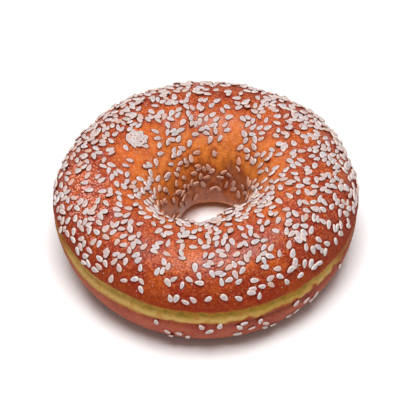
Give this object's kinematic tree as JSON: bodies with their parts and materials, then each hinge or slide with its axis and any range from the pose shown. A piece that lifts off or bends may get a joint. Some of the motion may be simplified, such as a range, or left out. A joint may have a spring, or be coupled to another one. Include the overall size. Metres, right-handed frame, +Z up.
{
  "type": "pretzel bagel",
  "caption": "Ring-shaped bread roll with a glossy brown crust, a pale split round its waist and hulled sesame scattered over the top and the hole's wall.",
  "frame": {"origin": "middle of the bounding box's underside, on the surface the bagel lies on", "axes": "+Z up along the hole, +X to the right and +Y to the back as the bagel is seen from its front"},
  "size_m": [0.105, 0.1064, 0.0425],
  "materials": {
    "crust": "glossy baked crust",
    "sesame": "dull pale hulled seed"
  },
  "bodies": {
    "root": {"bagel": "crust"}
  },
  "joints": []
}
